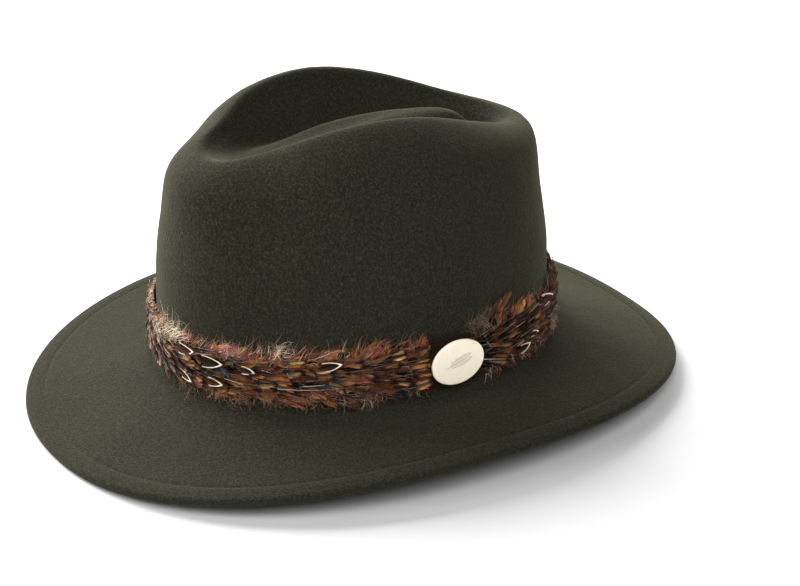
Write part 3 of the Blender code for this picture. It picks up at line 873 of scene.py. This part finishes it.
class Plumage:
    """Feathers and loose barbs in the wrap's own space: along, height and out."""

    def __init__(self):
        self.points, self.faces, self.colours = [], [], []
        self.count = 0

    def ribbons(self, lines, edges, colours):
        """Thin ribbons, each between a row of points of lines and one of edges."""
        count, n, _ = lines.shape
        first = self.count + np.arange(count)[:, None] * 2 * n + np.arange(n - 1)
        faces = np.stack([first, first + 1, first + n + 1, first + n], -1)
        self.faces += faces.reshape(-1, 4).tolist()
        self.points.append(np.stack([lines, edges], 1).reshape(-1, 3))
        self.colours.append(np.repeat(colours[:, None], 2, 1).reshape(-1, 3))
        self.count += count * 2 * n

    def feather(self, draw, shaft, width, kind):
        """One feather, whose barbs cling together in pointed clumps with gaps between."""
        shaft = shaft._replace(bend=draw.normal(0, 0.22))
        length, curl = shaft.length, draw.uniform(0.0, 0.8)
        roll, cup = draw.normal(0, 0.20), draw.uniform(15, 50)
        bright = draw.uniform(0.35, 1.4)
        t = BARB_STOPS
        for side in (-1, 1):
            start = np.linspace(0.12, 0.985, BARBS) + draw.normal(0, 0.003, BARBS)
            clump = np.cumsum(draw.random(BARBS) < GAP_CHANCE)
            opened = draw.normal(0, 0.07, BARBS)[clump]
            tone = draw.uniform(0.8, 1.2, BARBS)[clump] * draw.uniform(0.88, 1.12, BARBS)
            raised = draw.normal(0, 0.22 * MM, BARBS)[clump]
            outline = np.sin(math.pi * start**0.85) ** 0.6
            sweep = 0.80 - 0.48 * start + opened
            reach = width / 2 * np.maximum(outline, 0.12) / np.sin(np.clip(sweep, 0.25, 1.4))
            reach = reach * draw.uniform(0.86, 1.08, BARBS)[clump] * draw.uniform(0.95, 1.05, BARBS)
            reach = np.minimum(reach, length * 0.40)
            turn = sweep[:, None] * (1.12 - 0.35 * t)
            x = start[:, None] * length + reach[:, None] * t * np.cos(turn)
            y = side * reach[:, None] * t * np.sin(turn)
            pull = CLING * t**2
            for group in range(clump[-1] + 1):
                own = clump == group
                if own.any():
                    x[own] += (x[own].mean(0) - x[own]) * pull
                    y[own] += (y[own].mean(0) - y[own]) * pull
            rise = shaft.out + shaft.lift * (x / length + 0.4 * curl * (x / length) ** 3)
            rise = rise + y * roll - y * y * cup + raised[:, None] * t
            broad = length * 0.95 / BARBS * np.clip(1.2 - 0.85 * t**2, 0.15, 1.2)
            colours = DYES[kind](np.clip(x / length, 0, 1), np.broadcast_to(t, x.shape), draw)
            # Each barb is painted darker towards the shaft: partly the barb's own colour, partly painted
            # shade.
            tone_and_painted_shade = (tone * bright)[:, None] * (0.35 + 0.75 * t)
            lines, edges = shaft.place(x, y, rise), shaft.place(x + broad, y, rise)
            edges[..., 2] -= 0.04 * MM
            self.ribbons(lines, edges, colours * tone_and_painted_shade[..., None])
        if kind == "almond":
            self.outline(draw, shaft, width)
        else:
            self.quill(draw, shaft)

    def outline(self, draw, shaft, width, line=0.7 * MM):
        """The pale line that follows the edge of a marked feather round its point."""
        length = shaft.length
        v = np.linspace(0, 1, 16)
        for side in (-1, 1):
            rows = []
            for inset in (line, 0):
                x = length * (0.30 + 0.70 * v) - 2 * inset * v
                y = side * np.maximum(width * 0.44 * (1 - v**2) ** 0.85 - inset * (1 - v), 0)
                rise = shaft.out + shaft.lift * x / length + 0.25 * MM
                rows.append(shaft.place(x, y, rise)[None])
            pale = lerp(BEIGE, CREAM, 0.25 + v + draw.normal(0, 0.12, 16))
            self.ribbons(*rows, pale[None])

    def quill(self, draw, shaft):
        x = np.linspace(-0.03, 0.94, 8) * shaft.length
        rise = shaft.out + 0.20 * MM + shaft.lift * x / shaft.length
        half = np.linspace(0.20, 0.07, 8) * MM
        pale = draw.uniform(0.5, 0.9) if draw.random() < 0.12 else draw.uniform(0, 0.2)
        colour = np.tile(lerp(BROWN, CREAM, np.array(pale)), (2, 8, 1))
        low, ridge, high = (shaft.place(x, half * k, rise + half * (k == 0)) for k in (-1, 0, 1))
        self.ribbons(np.stack([low, ridge]), np.stack([ridge, high]), colour)

    def wisps(self, draw, starts, ways, lengths, colours, width=0.11 * MM, curl=0.9):
        """Loose downy barbs: thin curling ribbons."""
        count, n = len(starts), 7
        t = np.linspace(0, 1, n)
        turn = ways[:, None] + draw.normal(0, curl, count)[:, None] * t
        step = lengths[:, None] / (n - 1)
        lines = np.zeros((count, n, 3))
        lines[..., 0] = starts[:, :1] + np.cumsum(np.cos(turn) * step, 1)
        lines[..., 1] = starts[:, 1:2] + np.cumsum(np.sin(turn) * step, 1)
        rise = draw.uniform(-0.10, 0.25, count)[:, None] * t
        rise = rise + draw.normal(0, 0.12, count)[:, None] * t**2
        lines[..., 2] = np.maximum(starts[:, 2:] + rise * lengths[:, None], 0.1 * MM)
        half = width * np.clip(1.15 - t, 0.2, 1)
        edges = lines.copy()
        edges[..., 0] -= np.sin(turn) * half
        edges[..., 1] += np.cos(turn) * half
        edges[..., 2] += half * 0.6
        tones = colours * draw.uniform(0.55, 1.45, (count, 1))
        self.ribbons(lines, edges, np.repeat(tones[:, None], n, 1))

    def object(self, name, mat):
        inner = WRAP_OUTER + GAP
        wrap = np.concatenate(self.points)
        wrap[:, 0] = np.minimum(wrap[:, 0], WALL.length - KEEPER_EDGE + 0.4 * MM)
        over = np.clip((wrap[:, 1] - WRAP_FOOT - WRAP_HEIGHT) / (3 * MM), 0, 1)
        out = (inner + np.maximum(wrap[:, 2], 0)) * (1 - 0.7 * over)
        points = WALL.at(wrap[:, 0], wrap[:, 1], out)
        colours = np.clip(np.concatenate(self.colours), 0, 1)
        return mesh_object(name, points, self.faces, mat, colours=colours)


FEATHERS_IN_BUNCH = 54
LEVEL_STEP = 0.618  # spreads the feathers evenly over the wrap's height
FEATHER_LENGTHS, FEATHER_WIDTHS, FEATHER_LIFTS = (13, 20), (4.5, 7.5), (1.2, 2.4)  # mm
FRONT_LENGTH, FRONT_WIDTH = 0.8, 0.65  # of the feathers across the front, to the others
FAN_LENGTH = 22 * MM  # how far from the badge the feathers stay spread
FRONT_START = float(WALL.along(math.radians(-75)))  # smaller feathers lie across the front
FRONT_END = float(WALL.along(math.radians(12)))

# The most marked feathers, each with the angle of its point, the height of its shaft,
# its length and width, its tilt, and its kind
MARKED_FEATHERS = (
    (17.5, 21.5, 15, 7.0, -12, "almond"), (29.0, 18.5, 13, 7.0, 4, "blue"),
    (27.5, 18.0, 17, 7.5, 2, "almond"), (37.5, 17.5, 10, 5.0, 3, "almond"),
    (27.5, 8.0, 12, 5.5, 6, "almond"), (16.5, 8.0, 10, 4.5, -8, "almond"),
    (61.5, 19.5, 13, 6.0, 12, "almond"), (136, 22.0, 14, 6.5, 4, "almond"),
    (120.5, 5.5, 11, 5.5, -6, "almond"), (125.0, 10.0, 9, 4.0, 5, "almond"),
    (122.0, 12.0, 10, 6.0, 8, "ink"), (117.5, 9.0, 11, 6.5, 4, "gold"),
    (127.0, 17.5, 12, 6.5, 10, "gold"), (110.0, 24.5, 10, 6.0, 24, "copper"),
    (113.0, 24.0, 10, 4.0, 62, "copper"), (114.0, 15.0, 12, 6.5, 14, "copper"),
    (84.5, 18.0, 13, 6.0, 6, "gold"), (85.0, 11.5, 13, 6.0, 2, "gold"),
    (84.5, 4.5, 13, 6.0, -4, "gold"), (78.0, 20.5, 12, 6.0, 12, "gold"),
)  # fmt: skip
# Bare shafts that lie in a line over the other feathers: angle, height, length, tilt
BARE_SHAFTS = ((33, 10.5, 22, -3), (44, 9.2, 22, -2), (56, 8.8, 20, 1), (114, 8.5, 12, 10))

# Tufts of down: angle, height, darkest and lightest colour, barbs, way, longest, spread
DOWN_TUFTS = (
    (-1.5, 21.0, BEIGE, CREAM * 1.1, 90, 0.5, 12, 3.0), (4.5, 21.5, BEIGE, CREAM, 90, 0.6, 12, 3.0),
    (28.0, 24.0, MAROON, DOWN, 70, 0.3, 7, 2.2), (43.0, 25.0, MAROON, CREAM, 70, 0.6, 7, 2.2),
    (99.5, 24.5, BROWN, BEIGE * 0.8, 110, 1.5, 6, 2.4),
    (103.5, 26.0, BROWN, BEIGE * 0.8, 90, 1.2, 8, 2.0),
    (107.0, 27.0, BROWN, BEIGE * 0.8, 70, 1.4, 7, 2.0),
    (13.0, 4.5, CHESTNUT, BEIGE, 60, -1.0, 6, 2.2), (24.5, 4.0, CHESTNUT, BEIGE, 50, -1.0, 6, 2.0),
    (32.0, 4.5, COPPER, BEIGE, 60, -0.8, 5.5, 2.3), (39.0, 4.8, CHESTNUT, BEIGE, 60, -0.8, 5, 2.2),
    (52.0, 4.5, CHESTNUT, BEIGE, 50, -0.8, 5, 2.2), (68.0, 3.5, CHESTNUT, BEIGE, 50, -0.7, 5, 2.2),
    (140.0, 7.0, MAROON, DOWN, 80, -0.4, 8, 2.5), (150.0, 10.0, MAROON, DOWN, 60, 0.2, 8, 2.5),
)  # fmt: skip


def bunch_of(along):
    """Which bunch holds the feathers whose shafts start there."""
    pitch = (WALL.length - 2 * KEEPER_EDGE) / BUNDLES
    return min(max(int((along - KEEPER_EDGE) / pitch), 0), BUNDLES - 1)


def add_marked_feathers(tuft, index, draw):
    for angle, height, length, width, tilt, kind in MARKED_FEATHERS:
        root = float(WALL.along(math.radians(angle))) - length * MM
        if bunch_of(root) == index:
            out = (2.4 if kind == "blue" else 3.2) * MM
            shaft = Shaft(root, height * MM, length * MM, math.radians(tilt), 1.3 * MM, out)
            tuft.feather(draw, shaft, width * MM, kind)
    for angle, height, length, tilt in BARE_SHAFTS:
        root = float(WALL.along(math.radians(angle)))
        if bunch_of(root) == index:
            tilt = math.radians(tilt)
            shaft = Shaft(root, height * MM, length * MM, tilt, 0.6 * MM, 3.3 * MM, 0.05)
            tuft.quill(draw, shaft)


def scattered(along, height, out):
    """Starting points of loose barbs, from their three coordinates."""
    return np.stack([along, height, out], 1)


def add_wisps(tuft, start, pitch, draw):
    """Down along both edges, some stiff single barbs, and a little between the feathers."""
    palette = np.array((COPPER, CHESTNUT, DOWN, BEIGE, MAROON, BROWN, ORANGE))
    for low, high, way, count, lengths in (
        (0.74, 1.00, 0.95, 150, (3.0, 8.0)), (0.00, 0.20, -0.75, 120, (2.5, 6.5)),
        (0.15, 0.90, 0.10, 80, (3.0, 7.0)),
    ):  # fmt: skip
        starts = scattered(
            start + draw.uniform(0, pitch, count),
            BUNDLE_FOOT + BUNDLE_HEIGHT * draw.uniform(low, high, count) * 0.93,
            draw.uniform(0.6, 2.8, count) * MM,
        )
        colours = palette[draw.choice(7, count, p=(0.2, 0.12, 0.2, 0.2, 0.12, 0.06, 0.1))] * 1.2
        tuft.wisps(draw, starts, draw.normal(way, 0.5, count),
                   draw.uniform(*lengths, count) * MM, colours)  # fmt: skip
    count = 12
    starts = scattered(
        start + draw.uniform(0, pitch, count),
        BUNDLE_FOOT + BUNDLE_HEIGHT * draw.uniform(0.72, 0.88, count),
        draw.uniform(1.0, 2.6, count) * MM,
    )
    colours = palette[draw.choice((0, 4, 6), count)] * 1.2
    tuft.wisps(draw, starts, draw.normal(0.7, 0.35, count), draw.uniform(4.5, 8.0, count) * MM,
               colours, width=0.28 * MM, curl=0.25)  # fmt: skip


def add_down_tuft(tuft, middle, height, draw, colours, count, way, longest, spread):
    """A tuft of down that springs from the base of the feathers."""
    starts = scattered(
        middle + draw.normal(0, spread, count) * MM,
        height * MM + draw.normal(0, spread, count) * MM,
        draw.uniform(1.8, 3.4, count) * MM,
    )
    tones = lerp(*colours, draw.uniform(0, 1, count))
    tuft.wisps(draw, starts, draw.normal(way, 0.8, count), draw.uniform(3.0, longest, count) * MM,
               tones, width=0.13 * MM, curl=1.2)  # fmt: skip


def bunch_feathers(index, mat):
    draw = np.random.default_rng(100 + index)
    tuft = Plumage()
    pitch = (WALL.length - 2 * KEEPER_EDGE) / BUNDLES
    start = KEEPER_EDGE + pitch * index
    end = WALL.length - KEEPER_EDGE
    for f in range(FEATHERS_IN_BUNCH):
        length, width = draw.uniform(*FEATHER_LENGTHS) * MM, draw.uniform(*FEATHER_WIDTHS) * MM
        level = (f * LEVEL_STEP) % 1
        height = BUNDLE_FOOT + BUNDLE_HEIGHT * (0.12 + 0.70 * level)
        root = start + pitch * (f + draw.uniform(0, 1)) / FEATHERS_IN_BUNCH - 5 * MM
        root = min(max(root, KEEPER_EDGE - 6 * MM), end - length * 0.95)
        fan = 1 + 1.3 * math.exp(-(root - KEEPER_EDGE) / FAN_LENGTH)
        tilt = max((level - 0.45) * 0.36 + draw.normal(0, 0.13), -0.14) * fan
        kind = COMMON_KINDS[draw.choice(len(COMMON_KINDS), p=CHANCES)]
        if FRONT_START < root < FRONT_END:
            length, width = length * FRONT_LENGTH, width * FRONT_WIDTH
        shaft = Shaft(root, height, length, tilt, draw.uniform(*FEATHER_LIFTS) * MM)
        tuft.feather(draw, shaft, width, kind)
    add_marked_feathers(tuft, index, draw)
    add_wisps(tuft, start, pitch, draw)
    for angle, height, low, high, count, way, longest, spread in DOWN_TUFTS:
        middle = float(WALL.along(math.radians(angle)))
        if bunch_of(middle) == index:
            add_down_tuft(tuft, middle, height, draw, (low, high), count, way, longest, spread)
    obj = tuft.object(f"feather_bunch_{index + 1:02d}", mat)
    replace(obj, "wrap", "feather", f"feather_bundle_{index + 1:02d}")


# Light, floor and camera --------------------------------------------------------

CAMERA_AZIMUTH, CAMERA_ELEVATION = math.radians(60.4), math.radians(25.97)
CAMERA_DISTANCE, CAMERA_LENS = 1.4587, 129.6
CAMERA_ROLL = math.radians(-0.35)
HAT_MIDDLE = Vector((0, 0, 0.026))
AIM_RIGHT, AIM_UP = 0.0233, 0.0189


def direction(azimuth, elevation):
    flat = math.cos(elevation)
    return Vector((math.sin(azimuth) * flat, -math.cos(azimuth) * flat, math.sin(elevation)))


def make_camera():
    back = direction(CAMERA_AZIMUTH, CAMERA_ELEVATION)
    right = Vector((0, 0, 1)).cross(back).normalized()
    up = back.cross(right)
    data = bpy.data.cameras.new("camera")
    data.lens = CAMERA_LENS
    camera = bpy.data.objects.new("camera", data)
    camera.location = HAT_MIDDLE + back * CAMERA_DISTANCE
    aim = HAT_MIDDLE + right * AIM_RIGHT + up * AIM_UP
    look = (aim - camera.location).to_track_quat("-Z", "Y")
    camera.rotation_mode = "QUATERNION"
    camera.rotation_quaternion = look @ Matrix.Rotation(CAMERA_ROLL, 3, "Z").to_quaternion()
    bpy.context.scene.collection.objects.link(camera)
    bpy.context.scene.camera = camera


def softbox(name, azimuth, elevation, distance, size, power):
    data = bpy.data.lights.new(name, "AREA")
    data.shape = "DISK"
    data.size = size
    data.energy = power
    lamp = bpy.data.objects.new(name, data)
    way = direction(math.radians(azimuth), math.radians(elevation))
    lamp.location = HAT_MIDDLE + way * distance
    lamp.rotation_mode = "QUATERNION"
    lamp.rotation_quaternion = way.to_track_quat("Z", "Y")
    bpy.context.scene.collection.objects.link(lamp)


# Each light's azimuth and elevation in degrees, distance and width in metres, and watts
LIGHTS = {
    "key": (-73, 34, 3.0, 3.0, 288),
    "front_fill": (0, 30, 3.0, 1.8, 48),
    "side_fill": (75, 45, 3.0, 2.2, 76),
    "back_light": (-122, 33, 3.0, 1.6, 50),
}
WORLD_STRENGTH = 0.12
FLOOR_REACH = 6.0


def make_stage():
    n = Nodes("floor_paper")
    n.set(Base_Color=n.ramp(n.noise(30, 2), 0.3, 0.7, (0.59,) * 3, (0.61,) * 3))
    n.set(Roughness=0.9, Specular_IOR_Level=0.1)
    sides = ((-1, -1), (1, -1), (1, 1), (-1, 1))
    corners = [(x * FLOOR_REACH, y * FLOOR_REACH, 0) for x, y in sides]
    floor = mesh_object("floor", corners, [(0, 1, 2, 3)], n.material, smooth=False)
    world = bpy.data.worlds.new("studio")
    bpy.context.scene.world = world
    world.use_nodes = True
    backdrop = world.node_tree.nodes["Background"]
    backdrop.inputs["Color"].default_value = (1, 1, 1, 1)
    backdrop.inputs["Strength"].default_value = WORLD_STRENGTH
    for name, values in LIGHTS.items():
        softbox(name, *values)
    bpy.context.scene.view_settings.view_transform = "Standard"


# Assembly -----------------------------------------------------------------------


def replace(obj, body, slot, *nodes):
    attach(obj, body)
    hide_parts(*nodes)


def extra(obj, body):
    """A piece that belongs with another one, which replaces the node."""
    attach(obj, body)


def main():
    felt = felt_material()
    replace(felt_body(felt), "hat", "felt", "felt_body")
    thread = thread_material("brim_thread", (0.020, 0.021, 0.015))
    replace(brim_stitches(thread), "hat", "thread", "brim_stitching")
    hide = leather_material("sweatband_hide", (0.050, 0.028, 0.016), (0.075, 0.043, 0.026), 0.45)
    replace(sweatband_leather(hide), "hat", "sweatband_leather", "sweatband")
    replace(sweatband_reed(ribbon_material("reed_cover", (0.030, 0.028, 0.024), 0.5 * MM)),
            "hat", "reed", "sweatband_reed")  # fmt: skip
    pale = thread_material("sweatband_thread", (0.30, 0.24, 0.15))
    replace(sweatband_stitches(pale), "hat", "thread", "sweatband_stitching")
    tab = (math.pi, TAB_WIDTH, TAB_HEIGHT, TAB_UP, TAB)
    replace(patch("seam_tab_leather", *tab, hide), "hat", "sweatband_leather", "sweatband_seam_tab")
    extra(patch_stitches("seam_tab_stitches", *tab, pale), "hat")
    ribbon = ribbon_material("bow_ribbon", (0.030, 0.034, 0.024), 0.35 * MM)
    replace(ribbon_bow(ribbon), "hat", "ribbon", "sweatband_bow")
    label = (LABEL_ANGLE, LABEL_WIDTH, LABEL_HEIGHT, LABEL_UP, LABEL)
    satin = ribbon_material("label_satin", (0.62, 0.58, 0.48), 0.3 * MM, 0.4)
    replace(patch("blank_label", *label, satin), "hat", "label_satin", "size_label")
    extra(patch_stitches("label_stitches", *label, thread), "hat")
    suede = leather_material("wrap_suede", (0.0120, 0.0055, 0.0022), (0.022, 0.010, 0.004), 0.9, 0.02)
    replace(wrap_leather(suede), "wrap", "wrap_leather", "wrap_band")
    replace(keeper_leather(suede), "wrap", "wrap_leather", "badge_keeper")
    metal = metal_material("badge_gilt", (1.0, 0.91, 0.73), 0.34, 0.1)
    replace(badge_plate(metal), "wrap", "badge_metal", "badge")
    cut = metal_material("badge_engraved_lines", (0.30, 0.25, 0.17), 0.5, 0.3)
    extra(badge_engraving(cut), "wrap")
    barbs = feather_material()
    for index in range(BUNDLES):
        bunch_feathers(index, barbs)
    make_stage()
    make_camera()


main()
